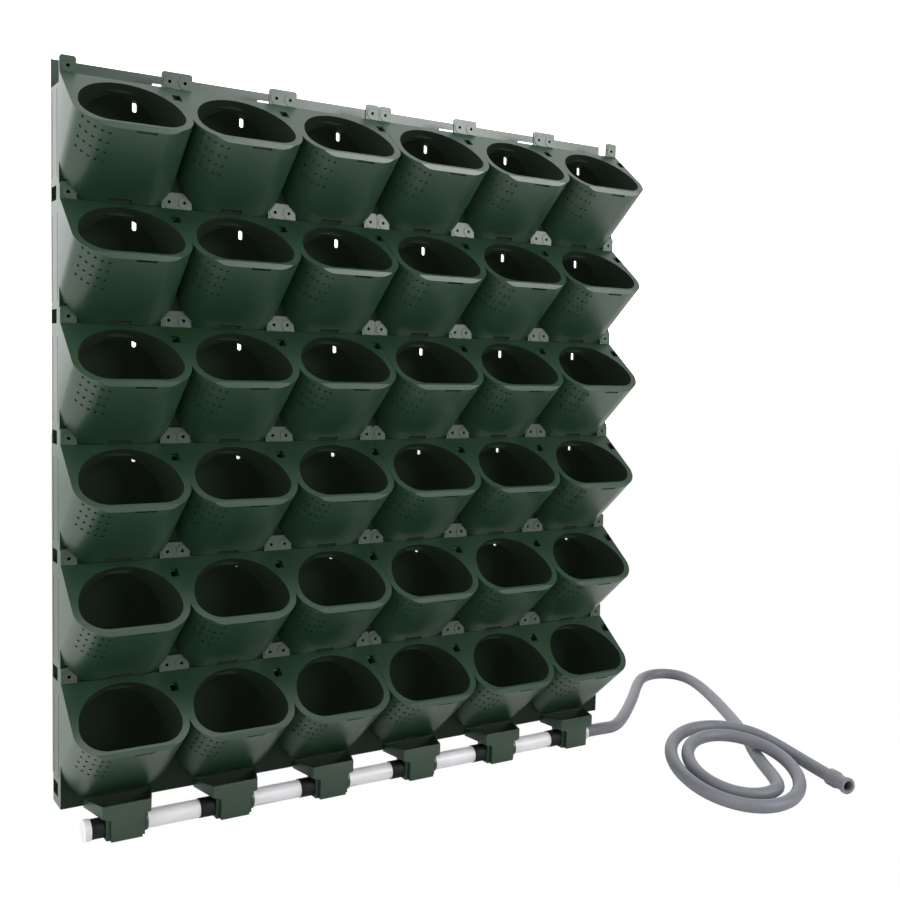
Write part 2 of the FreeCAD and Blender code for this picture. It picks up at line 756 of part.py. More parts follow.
for label, route in (("hose_run", hose_route), ("hose_tail", tail_route)):
    edges, radii = route_edges(route)
    solid = tube(edges)
    print(f"{label} bend radii:", [round(radius) for radius in radii])
    report_volume(label, solid, sum(edge.Length for edge in edges))
    soft_piece(label, solid)
coil = tube(coil_edges)
report_volume("hose_coil", coil, sum(edge.Length for edge in coil_edges))
print(f"hose_coil least gap to itself: {least_gap(coil_edges):.2f} mm")
soft_piece("hose_coil", coil)

nozzle_piece = doc.addObject("App::Link", "hose_nozzle")
nozzle_piece.LinkedObject = nozzle_body
nozzle_piece.Label = "hose_nozzle"
nozzle_piece.Placement = Placement(nozzle_start, Rotation(Vector(1, 0, 0), nozzle_heading))
pieces.append(nozzle_piece)

doc.recompute()

# Every object has to be sound before anything is written
for item in doc.Objects:
    if "Invalid" in item.State or "Error" in item.State:
        raise RuntimeError(f"{item.Name} did not compute: {item.State}")
for item in pieces:
    shape = Part.getShape(item)
    if shape.isNull() or not shape.isValid():
        raise RuntimeError(f"{item.Label} has no sound shape")

os.makedirs("parts", exist_ok=True)
for item in pieces:
    Part.getShape(item).exportStep(f"parts/{item.Label}.step")
print(f"{len(pieces)} pieces written")
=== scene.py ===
import json
import math

import bmesh
import bpy
from mathutils import Matrix, Vector
from mathutils.bvhtree import BVHTree


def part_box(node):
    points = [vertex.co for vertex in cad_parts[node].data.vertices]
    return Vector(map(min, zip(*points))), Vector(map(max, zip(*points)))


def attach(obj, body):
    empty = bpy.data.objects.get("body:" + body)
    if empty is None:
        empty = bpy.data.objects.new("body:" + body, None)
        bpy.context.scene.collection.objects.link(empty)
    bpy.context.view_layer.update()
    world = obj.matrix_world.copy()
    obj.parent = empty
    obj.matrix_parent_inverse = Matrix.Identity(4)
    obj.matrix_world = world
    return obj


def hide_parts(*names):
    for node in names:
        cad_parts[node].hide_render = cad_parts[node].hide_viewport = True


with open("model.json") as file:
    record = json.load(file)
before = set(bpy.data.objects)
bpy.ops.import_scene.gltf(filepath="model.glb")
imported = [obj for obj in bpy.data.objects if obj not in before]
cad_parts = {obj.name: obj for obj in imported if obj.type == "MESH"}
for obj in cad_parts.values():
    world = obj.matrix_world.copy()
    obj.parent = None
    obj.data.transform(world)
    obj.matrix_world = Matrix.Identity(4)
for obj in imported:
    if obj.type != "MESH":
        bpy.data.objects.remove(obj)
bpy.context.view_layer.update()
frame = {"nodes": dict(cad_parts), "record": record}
scene = bpy.context.scene
scene.view_settings.view_transform = "Standard"

rows = range(1, 7)
stacks = ("left", "right")
bays = (-1, 0, 1)


# shader maths: a socket that can be added, multiplied and so on, and one method for every other node

class Link:
    def __init__(self, tree, socket=None):
        self.tree = tree
        self.socket = socket

    def node(self, kind, settings=None, values=None, out=0):
        made = self.tree.nodes.new(kind)
        for key, value in (settings or {}).items():
            setattr(made, key, value)
        for key, value in (values or {}).items():
            if isinstance(value, Link):
                self.tree.links.new(value.socket, made.inputs[key])
            else:
                made.inputs[key].default_value = value
        return Link(self.tree, made.outputs[out])

    def math(self, operation, first, second):
        return self.node("ShaderNodeMath", {"operation": operation}, {0: first, 1: second})

    def __add__(self, other):
        return self.math("ADD", self, other)

    def __radd__(self, other):
        return self.math("ADD", other, self)

    def __sub__(self, other):
        return self.math("SUBTRACT", self, other)

    def __rsub__(self, other):
        return self.math("SUBTRACT", other, self)

    def __mul__(self, other):
        return self.math("MULTIPLY", self, other)

    def __rmul__(self, other):
        return self.math("MULTIPLY", other, self)


def newFinish(name, settings):
    material = bpy.data.materials.new(name)
    material.use_nodes = True
    tree = material.node_tree
    shader = tree.nodes["Principled BSDF"]
    for key, value in settings.items():
        shader.inputs[key].default_value = value
    return material, Link(tree), shader


def feed(link, shader, socket):
    link.tree.links.new(link.socket, shader.inputs[socket])


def noise(link, place, scale, detail=2.0):
    return link.node("ShaderNodeTexNoise", None, {"Vector": place, "Scale": scale, "Detail": detail})


def blendColour(link, share, first, second):
    return link.node("ShaderNodeMix", {"data_type": "RGBA"}, {0: share, 6: first, 7: second}, 2)


def objectPlace(link):
    return link.node("ShaderNodeTexCoord", None, None, 3)


def bumped(link, shader, height, strength, distance):
    bump = link.node("ShaderNodeBump", None, {"Height": height, "Strength": strength, "Distance": distance})
    feed(bump, shader, "Normal")


# finishes

greenPlastic = {
    "deep": (0.0075, 0.0260, 0.0120, 1.0),
    "pale": (0.0120, 0.0350, 0.0170, 1.0),
    # painted shade: the inside colour and metal darken the faces marked inside (pocket bores and chambers,
    # drain slots, the low skirt and the collectors' insides) where shade falls, and the faint inside glow
    # is painted light
    "inside": (0.0110, 0.0200, 0.0120, 1.0),
    "insideMetal": 0.85,
    "noGlow": (0.0, 0.0, 0.0, 1.0),
    "insideGlow": (0.0034, 0.0052, 0.0036, 1.0),
    "roughness": 0.36,
    "insideRoughness": 0.45,
    "flowScale": 9.0,
    "flowRough": 0.10,
    "grainScale": 900.0,
    "grainRough": 0.06,
}


def makeGreenPlastic():
    look = greenPlastic
    material, link, shader = newFinish("green_plastic", {"IOR": 1.5, "Emission Strength": 1.0})
    place = objectPlace(link)
    flow = noise(link, place, look["flowScale"], 3.0)
    grain = noise(link, place, look["grainScale"], 2.0)
    # painted shade: the per-face inside mark chooses the darker, metallic colour and a faint painted glow
    inside = link.node("ShaderNodeAttribute", {"attribute_name": "inside"}, None, "Fac")
    outer = blendColour(link, flow, look["deep"], look["pale"])
    feed(blendColour(link, inside, outer, look["inside"]), shader, "Base Color")
    feed(inside * look["insideMetal"], shader, "Metallic")
    smoothest = look["roughness"] - (look["flowRough"] + look["grainRough"]) / 2
    worn = flow * look["flowRough"] + grain * look["grainRough"]
    feed(worn + inside * look["insideRoughness"] + smoothest, shader, "Roughness")
    feed(blendColour(link, inside, look["noGlow"], look["insideGlow"]), shader, "Emission Color")
    bumped(link, shader, grain * 0.6 + flow * 0.4, 0.12, 0.0004)
    return material


blackPlastic = {
    "deep": (0.005, 0.006, 0.006, 1.0),
    "pale": (0.011, 0.012, 0.013, 1.0),
    "roughness": 0.5,
    "speckScale": 400.0,
}


def makeBlackPlastic():
    material, link, shader = newFinish("black_plastic", {"IOR": 1.5, "Specular IOR Level": 0.15})
    speck = noise(link, objectPlace(link), blackPlastic["speckScale"])
    feed(blendColour(link, speck, blackPlastic["deep"], blackPlastic["pale"]), shader, "Base Color")
    feed(speck * 0.2 + blackPlastic["roughness"], shader, "Roughness")
    bumped(link, shader, speck, 0.1, 0.0003)
    return material


clearPlastic = {
    "tint": (0.96, 0.95, 0.97, 1.0),
    "roughness": 0.28,
    "transmission": 0.55,
    "streakScale": (6.0, 260.0, 260.0),
}


def makeClearPlastic():
    look = clearPlastic
    material, link, shader = newFinish("clear_plastic", {
        "Base Color": look["tint"], "IOR": 1.45, "Transmission Weight": look["transmission"]})
    place = objectPlace(link)
    stretched = link.node("ShaderNodeMapping", None, {"Vector": place, "Scale": look["streakScale"]})
    streak = noise(link, stretched, 1.0)
    feed(streak * 0.18 + look["roughness"], shader, "Roughness")
    bumped(link, shader, streak, 0.05, 0.0003)
    return material


whitePlastic = {
    "deep": (0.50, 0.51, 0.51, 1.0),
    "pale": (0.60, 0.61, 0.61, 1.0),
    "roughness": 0.32,
    "cloudScale": 120.0,
    "glowDepth": (0.004, 0.004, 0.004),
}


def makeWhitePlastic():
    material, link, shader = newFinish("white_plastic", {"IOR": 1.48, "Subsurface Weight": 0.25})
    shader.inputs["Subsurface Radius"].default_value = whitePlastic["glowDepth"]
    cloud = noise(link, objectPlace(link), whitePlastic["cloudScale"])
    feed(blendColour(link, cloud, whitePlastic["deep"], whitePlastic["pale"]), shader, "Base Color")
    feed(cloud * 0.15 + whitePlastic["roughness"], shader, "Roughness")
    bumped(link, shader, cloud, 0.06, 0.0003)
    return material


hoseRubber = {
    "deep": (0.088, 0.092, 0.106, 1.0),
    "pale": (0.120, 0.125, 0.142, 1.0),
    "roughness": 0.44,
    "fineScale": 700.0,
}


def makeHoseRubber(name, scale):
    material, link, shader = newFinish(name, {"IOR": 1.47})
    place = objectPlace(link)
    cloud = noise(link, place, scale, 4.0)
    fine = noise(link, place, hoseRubber["fineScale"])
    feed(blendColour(link, cloud, hoseRubber["deep"], hoseRubber["pale"]), shader, "Base Color")
    feed(cloud * 0.15 + fine * 0.08 + hoseRubber["roughness"], shader, "Roughness")
    bumped(link, shader, fine * 0.7 + cloud * 0.3, 0.10, 0.0004)
    return material


finishes = {
    "green_plastic": makeGreenPlastic(),
    "black_plastic": makeBlackPlastic(),
    "clear_plastic": makeClearPlastic(),
    "white_plastic": makeWhitePlastic(),
    "grey_hose": makeHoseRubber("grey_hose", 18.0),
    "grey_plastic": makeHoseRubber("grey_plastic", 60.0),
}
for part in frame["record"]["subparts"]:
    slots = frame["nodes"][part["node"]].data.materials
    slots.clear()
    slots.append(finishes[part["material_slot"]])
print("finishes:", len(finishes))


# mesh helpers

def nodeMesh(name):
    # a CAD node's triangles, merged and with flat areas joined, ready to be shaped further
    bm = bmesh.new()
    bm.from_mesh(frame["nodes"][name].data)
    bmesh.ops.remove_doubles(bm, verts=bm.verts, dist=1e-6)
    bmesh.ops.dissolve_limit(bm, angle_limit=math.radians(0.4), verts=bm.verts, edges=bm.edges)
    return bm


def rounded(bm, edges, offset, segments):
    bmesh.ops.bevel(bm, geom=edges, offset=offset, offset_type="OFFSET", affect="EDGES", segments=segments,
                    profile=0.5, material=-1, clamp_overlap=True, loop_slide=True)


def toObject(bm, name, slot, sharp=32.0):
    mesh = bpy.data.meshes.new(name)
    bm.to_mesh(mesh)
    bm.free()
    mesh.shade_smooth()
    mesh.set_sharp_from_angle(angle=math.radians(sharp))
    mesh.materials.append(finishes[slot])
    piece = bpy.data.objects.new(name, mesh)
    scene.collection.objects.link(piece)
    return piece


def settle(piece, body, slot, *nodes):
    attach(piece, body)
    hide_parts(*nodes)


def bodyOf(row, stack):
    return "bottom_row" if row == 6 else f"row{row}_{stack}"


# pocket panels

panel = {
    "pitch": 0.150,
    "deckAngle": 38.5,
    "spoutAngle": 49.0,
    "tabFront": 0.0475,
    "deckBack": 0.1675,
    "deckLength": 0.076,
    "cornerRadius": 0.042,
    "lipOut": 0.1362,
    "panelDepth": 0.044,
    "panelTop": 0.1915,
    "skirtTop": 0.0125,
    "wall": 0.003,
    "rimRounding": 0.0016,
    "ventRadius": 0.0020,
    "ventDepth": 0.0016,
    "ventColumns": 5,
    "ventRows": 4,
    "ventPitch": 0.0148,
    "ventTurn": 12.2,
    "ventFirstTurn": 38.5,
    "ventSlant": 0.0017,
    "ventSight": (0.241, 0.951, 0.192),
    "drainHalf": 0.0155,
    "drainOut": (0.0465, 0.0535),
    "drainTop": 0.03,
    "plugInset": 0.0002,
    "backSkin": 0.0005,
    "cuspTurns": (14.0, 38.0),
    "slotPlace": 0.032,
    "slotHalf": 0.003,
    "slotRounding": 0.0026,
    "dripSize": (0.011, 0.014, 0.012),
    "dripPlace": (0.068, 0.049),
    "slitWidth": 0.026,
    "slitHeight": 0.0034,
    "slitDepth": 0.024,
    "slitOffset": 0.009,
    "rimWidth": 0.009,
    "tabWidth": 0.041,
    "tabTrim": 0.003,
    "tabRounding": 0.0035,
    "lobeRadius": 0.0085,
    "lobeHole": 0.0022,
    "lobeLift": 0.0006,
    "lobeHoleDepth": 0.0040,
    "grooveDepth": 0.0012,
    "grooveWidth": 0.0018,
    "groovePlaces": (0.0085, 0.0340),
    "grooveSpan": (0.040, 0.150),
    "recessOut": (0.004, 0.030),
    "recessUp": (0.012, 0.030),
    "recessDepth": 0.005,
    "cutPast": 0.01,
    "insideSlack": 0.0006,
    "insideDrop": 0.003,
    "roundSlack": 0.0012,
}


def spoutMatrix(bay):
    # place of a pocket: x across, y up the section, z up along the slanted axis, from the middle of the rim
    slope = math.radians(panel["deckAngle"])
    out = panel["tabFront"] + panel["deckLength"] * math.cos(slope)
    up = panel["deckBack"] - panel["deckLength"] * math.sin(slope)
    turn = Matrix.Rotation(math.radians(panel["spoutAngle"]), 4, "X")
    return Matrix.Translation((bay * panel["pitch"], -out, up)) @ turn


def ventCutters(bm, bay, surface):
    # a field of shallow round holes in the left cheek
    place = spoutMatrix(bay)
    turn = place.to_3x3()
    flat = panel["pitch"] / 2 - panel["cornerRadius"]
    depth = 4 * panel["ventDepth"]
    sight = Vector(panel["ventSight"])
    for column in range(panel["ventColumns"]):
        angle = math.radians(180 + panel["ventFirstTurn"] + panel["ventTurn"] * column)
        radial = Vector((math.cos(angle), math.sin(angle), 0))
        outward = turn @ radial
        for row in range(panel["ventRows"]):
            drop = panel["ventPitch"] * row + panel["ventSlant"] * column
            aim = place @ (Vector((-flat, 0, -drop)) + radial * panel["cornerRadius"])
            found = surface.ray_cast(aim - sight * 0.03, sight, 0.06)[0]
            if found is None:
                continue
            centre = Matrix.Translation(found + outward * (depth / 2 - panel["ventDepth"]))
            upright = outward.to_track_quat("Z", "Y").to_matrix().to_4x4()
            bmesh.ops.create_cone(bm, cap_ends=True, segments=12, radius1=panel["ventRadius"],
                                  radius2=panel["ventRadius"], depth=depth, matrix=centre @ upright)


def dripCutter(bm, bay):
    # the hole beside each pocket, wider at the deck than further down
    across, back = panel["dripPlace"]
    drop = back * math.tan(math.radians(panel["spoutAngle"] - panel["deckAngle"]))
    centre = Matrix.Translation((across, back, -drop))
    size = Matrix.Diagonal((*panel["dripSize"], 1))
    bmesh.ops.create_cube(bm, size=1.0, matrix=spoutMatrix(bay) @ centre @ size)


def slitCutter(bm, bay):
    # the narrow slit in the front, just under the lip
    size = Matrix.Diagonal((panel["slitWidth"], panel["slitDepth"], panel["slitHeight"], 1))
    centre = Matrix.Translation((panel["slitOffset"], -panel["cornerRadius"], 0))
    bmesh.ops.create_cube(bm, size=1.0, matrix=spoutMatrix(bay) @ centre @ size)


def addBox(bm, low, high):
    size = Vector(high) - Vector(low)
    middle = (Vector(high) + Vector(low)) / 2
    bmesh.ops.create_cube(bm, size=1.0, matrix=Matrix.Translation(middle) @ Matrix.Diagonal((*size, 1)))


def endCutters(bm, halfWidth):
    # two upright grooves and a pocket in each end face
    low, high = panel["grooveSpan"]
    past = halfWidth + panel["cutPast"]
    for side in (-1, 1):
        for out in panel["groovePlaces"]:
            inner, outer = sorted((side * (halfWidth - panel["grooveDepth"]), side * past))
            addBox(bm, (inner, -out - panel["grooveWidth"] / 2, low),
                   (outer, -out + panel["grooveWidth"] / 2, high))
        inner, outer = sorted((side * (halfWidth - panel["recessDepth"]), side * past))
        addBox(bm, (inner, -panel["recessOut"][1], panel["recessUp"][0]),
               (outer, -panel["recessOut"][0], panel["recessUp"][1]))


def addTab(bm, middle, lobes):
    # two round lobes with a hole each at the foot of a tab
    for side in lobes:
        place = Matrix.Translation((middle + side * panel["tabWidth"] / 4, -panel["tabFront"],
                                    panel["deckBack"] + panel["lobeRadius"]))
        turn = Matrix.Rotation(math.radians(90), 4, "X")
        ring = bmesh.ops.create_circle(bm, cap_ends=True, segments=28, radius=panel["lobeRadius"],
                                       matrix=place @ turn)
        face = ring["verts"][0].link_faces[0]
        lifted = bmesh.ops.extrude_face_region(bm, geom=[face])
        top = [item for item in lifted["geom"] if isinstance(item, bmesh.types.BMFace)][0]
        bmesh.ops.translate(bm, verts=top.verts, vec=(0, -panel["lobeLift"], 0))
        bmesh.ops.inset_region(bm, faces=[top], thickness=panel["lobeRadius"] - panel["lobeHole"])
        bmesh.ops.inset_region(bm, faces=[top], thickness=0.0002, depth=-panel["lobeHoleDepth"])


def deckLevel(point):
    # height of a point over the sloping deck
    slope = math.tan(math.radians(panel["deckAngle"]))
    return point.z - panel["deckBack"] + (-point.y - panel["tabFront"]) * slope


def onRim(point):
    return abs(deckLevel(point)) < 2e-5 or abs(point.y + panel["lipOut"]) < 2e-5


def rimShare(point):
    # full rounding along the rims, less and less towards the narrow place where two pockets meet
    place = spoutMatrix(nearestBay(point)).inverted() @ point
    across = abs(place.x) - panel["pitch"] / 2 + panel["cornerRadius"]
    if place.y > 1e-5 or abs(math.hypot(across, place.y) - panel["cornerRadius"]) > 5e-4:
        return 1.0
    none, full = panel["cuspTurns"]
    turned = math.degrees(math.atan2(-place.y, across))
    return max(0.0, min(1.0, (turned - none) / (full - none)))


def cutLip(bm):
    # the foremost part of each rim ends in an upright lip
    whole = [*bm.verts, *bm.edges, *bm.faces]
    parted = bmesh.ops.bisect_plane(bm, geom=whole, dist=1e-6, plane_co=(0, -panel["lipOut"], 0),
                                    plane_no=(0, -1, 0), clear_outer=True)
    rims = [item for item in parted["geom_cut"] if isinstance(item, bmesh.types.BMEdge)]
    filled = bmesh.ops.holes_fill(bm, edges=rims)
    return len(filled["faces"])


def roundSlots(bm):
    # the slots in the back of the pockets have round ends
    edges = []
    for edge in bm.edges:
        first, second = (vert.co for vert in edge.verts)
        along = abs(first.x - second.x) < 1e-6 and abs(first.z - second.z) < 1e-6
        across = abs(first.x - nearestBay(first) * panel["pitch"]) - panel["slotPlace"]
        shallow = -panel["wall"] - 1e-5 < min(first.y, second.y) and max(first.y, second.y) < 1e-5
        if along and shallow and abs(abs(across) - panel["slotHalf"]) < 1e-4:
            edges.append(edge)
    heights = [edge.verts[0].co.z for edge in edges]
    rounded(bm, edges, panel["slotRounding"], 4)
    return min(heights), max(heights)


def shapeTabs(bm):
    # the tabs stand a little lower than the plate behind them and have round upper corners
    top = panel["panelTop"]
    upper = [vert for vert in bm.verts if abs(vert.co.z - top) < 1e-5 and vert.co.y < -panel["panelDepth"]]
    bmesh.ops.translate(bm, verts=upper, vec=(0, 0, -panel["tabTrim"]))
    chosen = set(upper)
    corners = [edge for edge in bm.edges if edge.verts[0] in chosen and edge.verts[1] in chosen
               and abs(edge.verts[0].co.x - edge.verts[1].co.x) < 1e-6]
    rounded(bm, corners, panel["tabRounding"], 5)


def spoutRadials(point):
    # normals that the round walls of a pocket have at a point given in the pocket's own axes
    half = panel["pitch"] / 2
    flat = half - panel["cornerRadius"]
    inner = panel["cornerRadius"] - panel["rimWidth"]
    slack = panel["roundSlack"]
    corner = Vector((point.x - math.copysign(flat, point.x), point.y, 0))
    back = Vector((point.x, point.y, 0))
    if point.y < 0.001 and abs(corner.length - panel["cornerRadius"]) < slack:
        yield corner.normalized()
    if point.y < 0.001 and abs(corner.length - inner) < slack:
        yield -corner.normalized()
    if point.y > -0.001 and abs(back.length - half + panel["rimWidth"]) < slack:
        yield -back.normalized()


def roundNormals(mesh):
    # flat faces keep their own normal, and the round walls of the pockets shade as true rounds
    mesh.shade_smooth()
    homes = {bay: spoutMatrix(bay) for bay in bays}
    aways = {bay: home.inverted() for bay, home in homes.items()}
    normals = [None] * len(mesh.loops)
    for face in mesh.polygons:
        bay = nearestBay(face.center)
        turn = homes[bay].to_3x3()
        along = abs(face.normal.dot(turn @ Vector((0, 0, 1))))
        for corner in face.loop_indices:
            place = aways[bay] @ mesh.vertices[mesh.loops[corner].vertex_index].co
            best = face.normal
            for radial in spoutRadials(place):
                if along < 0.03 and (turn @ radial).dot(face.normal) > 0.94:
                    best = turn @ radial
            normals[corner] = best
    mesh.normals_split_custom_set(normals)


def nearestBay(point):
    return max(-1, min(1, round(point.x / panel["pitch"])))


def isInside(point):
    # whether a place is in a pocket's bore below the deck, in the chamber behind it or in its drain slot
    if point.y > -panel["backSkin"]:
        return False
    bay = nearestBay(point)
    slack = panel["insideSlack"]
    half = panel["pitch"] / 2 - panel["rimWidth"] + slack
    across = abs(point.x - bay * panel["pitch"])
    behind = -panel["panelDepth"] + panel["wall"] - slack < point.y < slack - panel["wall"]
    if across < half and behind and point.z < panel["deckBack"]:
        return True
    near, far = panel["drainOut"]
    if across < panel["drainHalf"] and near < -point.y < far and point.z < panel["drainTop"]:
        return True
    place = spoutMatrix(bay).inverted() @ point
    flat = panel["pitch"] / 2 - panel["cornerRadius"]
    inner = panel["cornerRadius"] - panel["rimWidth"] + slack
    if place.y > 0:
        within = math.hypot(place.x, place.y) < half
    else:
        within = math.hypot(max(0.0, abs(place.x) - flat), place.y) < inner
    return within and deckLevel(point) < -panel["insideDrop"]


# painted shade: marks the faces in the pockets' bores and chambers, in the drain slots and on the low skirt
# under the pockets, which the green finish paints dark
def markPaintedShade(mesh):
    marks = mesh.attributes.new("inside", "FLOAT", "FACE")
    for face in mesh.polygons:
        middle = face.center
        low = middle.z < panel["skirtTop"] and middle.y > -panel["tabFront"]
        skirt = low and abs(face.normal.x) < 0.9
        marks.data[face.index].value = 1.0 if skirt or isInside(middle) else 0.0


def masterPanel():
    name = "pocket_panel_row6_left"
    low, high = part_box(name)
    home = Vector(((low[0] + high[0]) / 2, 0, low[2]))
    bm = nodeMesh(name)
    bmesh.ops.translate(bm, verts=bm.verts, vec=-home)
    weights = bm.edges.layers.float.new("bevel_weight_edge")
    print("lips:", cutLip(bm))
    shapeTabs(bm)
    slotLow, slotHigh = roundSlots(bm)
    for edge in bm.edges:
        first, second = (vert.co for vert in edge.verts)
        if onRim(first) and onRim(second) and edge.calc_face_angle_signed() > 0.3:
            edge[weights] = min(rimShare(first), rimShare(second))
    surface = BVHTree.FromBMesh(bm)
    solid = bpy.data.meshes.new("panel_solid")
    bm.to_mesh(solid)
    bm.free()
    halfWidth = (high[0] - low[0]) / 2
    cutters = bmesh.new()
    endCutters(cutters, halfWidth)
    for bay in bays:
        ventCutters(cutters, bay, surface)
        slitCutter(cutters, bay)
        dripCutter(cutters, bay)
    holes = bpy.data.meshes.new("panel_holes")
    cutters.to_mesh(holes)
    cutters.free()
    body = bpy.data.objects.new("panel_solid", solid)
    tool = bpy.data.objects.new("panel_holes", holes)
    for item in (body, tool):
        scene.collection.objects.link(item)
    soften = body.modifiers.new("rims", "BEVEL")
    soften.limit_method = "WEIGHT"
    soften.width = panel["rimRounding"]
    soften.segments = 4
    cut = body.modifiers.new("holes", "BOOLEAN")
    cut.operation = "DIFFERENCE"
    cut.object = tool
    cut.solver = "EXACT"
    depsgraph = bpy.context.evaluated_depsgraph_get()
    finished = bpy.data.meshes.new_from_object(body.evaluated_get(depsgraph))
    bm = bmesh.new()
    bm.from_mesh(finished)
    for item in (body, tool):
        bpy.data.objects.remove(item)
    for side in (-1, 1):
        addTab(bm, side * panel["pitch"] / 2, (-1, 1))
    addTab(bm, -halfWidth, (1,))
    addTab(bm, halfWidth, (-1,))
    inset = panel["plugInset"]
    for bay in bays:
        # of the two slots in a pocket, the left one is closed
        middle = bay * panel["pitch"] - panel["slotPlace"]
        addBox(bm, (middle - panel["slotHalf"], inset - panel["wall"], slotLow),
               (middle + panel["slotHalf"], -inset, slotHigh))
    master = bpy.data.meshes.new("panel_master")
    bm.to_mesh(master)
    bm.free()
    markPaintedShade(master)
    roundNormals(master)
    master.materials.append(finishes["green_plastic"])
    return master


master = masterPanel()
print("panel faces:", len(master.polygons))
for row in rows:
    for stack in stacks:
        node = f"pocket_panel_row{row}_{stack}"
        low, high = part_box(node)
        mesh = master.copy()
        mesh.transform(Matrix.Translation(((low[0] + high[0]) / 2, 0, low[2])))
        piece = bpy.data.objects.new(f"panel_row{row}_{stack}", mesh)
        scene.collection.objects.link(piece)
        settle(piece, bodyOf(row, stack), "green_plastic", node)
print("panels: 12")


# drain collectors

collector = {
    "insideReach": 0.09,
    "rounding": 0.0010,
    "shortest": 0.004,
    "socketReach": 0.0255,
    "pipeRadius": 0.0125,
    "pipeOut": 0.066,
    "pipeLevel": -0.203,
    "capLength": 0.0084,
    "collarLength": 0.0055,
    "collarWall": 0.0018,
    "shadedSpigotLength": 0.021,
    "shadedSpigotWall": 0.0008,
    "ringSteps": 40,
}


def markShadedInside(bm):
    # painted shade: faces that look at another wall of their own piece are marked as its inside, which the
    # green finish paints dark
    surface = BVHTree.FromBMesh(bm)
    marks = bm.faces.layers.float.new("inside")
    for face in bm.faces:
        start = face.calc_center_median() + face.normal * 0.0003
        hit = surface.ray_cast(start, face.normal, collector["insideReach"])
        face[marks] = 0.0 if hit[0] is None else 1.0


for number in range(1, 7):
    node = f"drain_collector_{number}"
    bm = nodeMesh(node)
    edges = [edge for edge in bm.edges if len(edge.link_faces) == 2
             and edge.calc_length() > collector["shortest"] and edge.calc_face_angle_signed() > 0.35]
    rounded(bm, edges, collector["rounding"], 3)
    markShadedInside(bm)
    piece = toObject(bm, f"collector_{number}", "green_plastic")
    settle(piece, "bottom_row", "green_plastic", node)
print("collectors: 6")


def pipeRing(name, slot, start, length, wall):
    # a round ring on the drain pipe with softened outer edges
    inner = collector["pipeRadius"] + 0.0001
    outer = inner + wall
    soft = wall * 0.5
    bend = soft * 0.3
    section = ((0, inner), (0, outer - soft), (bend, outer - bend), (soft, outer), (length - soft, outer),
               (length - bend, outer - bend), (length, outer - soft), (length, inner), (0, inner))
    bm = bmesh.new()
    points = [bm.verts.new((start + along, radius, 0)) for along, radius in section]
    edges = [bm.edges.new(pair) for pair in zip(points, points[1:])]
    bmesh.ops.spin(bm, geom=points + edges, cent=(0, 0, 0), axis=(1, 0, 0), angle=2 * math.pi,
                   steps=collector["ringSteps"], use_merge=True)
    bmesh.ops.remove_doubles(bm, verts=bm.verts, dist=1e-6)
    bmesh.ops.recalc_face_normals(bm, faces=bm.faces)
    bmesh.ops.translate(bm, verts=bm.verts, vec=(0, -collector["pipeOut"], collector["pipeLevel"]))
    piece = toObject(bm, name, slot, 50.0)
    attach(piece, "bottom_row")


for number in range(1, 7):
    low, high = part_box(f"drain_collector_{number}")
    middle = (low[0] + high[0]) / 2
    if number < 6:
        pipeRing(f"collar_{number}", "green_plastic", middle + collector["socketReach"],
                 collector["collarLength"], collector["collarWall"])
    # painted shade: a black ring over the pipe left of each collector stands for the collector's spigot
    # end, which is really there but is black only because it lies in shade
    socket = middle - collector["socketReach"]
    start = socket - collector["shadedSpigotLength"]
    if number == 1:
        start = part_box("end_cap")[0][0] + collector["capLength"]
    pipeRing(f"shadedSpigot_{number}", "black_plastic", start, socket - start, collector["shadedSpigotWall"])
print("collars and shadedSpigots: 11")


# hose and nozzle

hose = {
    "radius": 0.010,
    "floor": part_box("hose_run")[0][2],
    "coilMiddle": (0.4955, -0.3250),
    "coilRadius": 0.0835,
    "coilStep": 0.016,
    "coilSquash": 0.84,
    "coilSkew": 0.2,
    "coilTilt": 6.8,
    "coilRise": (0.277, 0.961),
    "coilEntry": -50.0,
    "coilExit": -704.0,
    "coilPointStep": 20.0,
    "nozzleStart": (0.6208, -0.4038),
    "nozzleHeading": (-0.2475, -0.969),
    "nozzleRadius": 0.013,
    "nozzleLead": 0.042,
}
lying = -0.210
pipeLevel = collector["pipeLevel"]
hoseExit = Vector((0.4085, -0.066, pipeLevel))


def coilPoints():
    # half turns about two centres in turn, on a plane that leans up over the strand below
    step = math.radians(hose["coilPointStep"])
    flat = []
    start = math.radians(hose["coilEntry"])
    for halfTurn in range(4):
        radius = (hose["coilRadius"] + hose["coilStep"] * halfTurn) / math.cos(step / 2)
        middle = hose["coilStep"] * (halfTurn % 2)
        end = max(-math.pi * (halfTurn + 1), math.radians(hose["coilExit"]))
        count = round((start - end) / step)
        for k in range(count):
            angle = start + (end - start) * (k + 0.5) / count
            out = radius * math.sin(angle)
            across = hose["coilSquash"] * (middle + radius * math.cos(angle)) + hose["coilSkew"] * out
            flat.append(Vector((across, out, 0)))
        start = end
    rise = Vector((*hose["coilRise"], 0))
    lean = Matrix.Rotation(math.radians(-hose["coilTilt"]), 3, Vector((-rise.y, rise.x, 0)))
    leaned = [lean @ point for point in flat]
    lowest = min(point.z for point in leaned)
    return [point + Vector((*hose["coilMiddle"], lying - lowest)) for point in leaned]


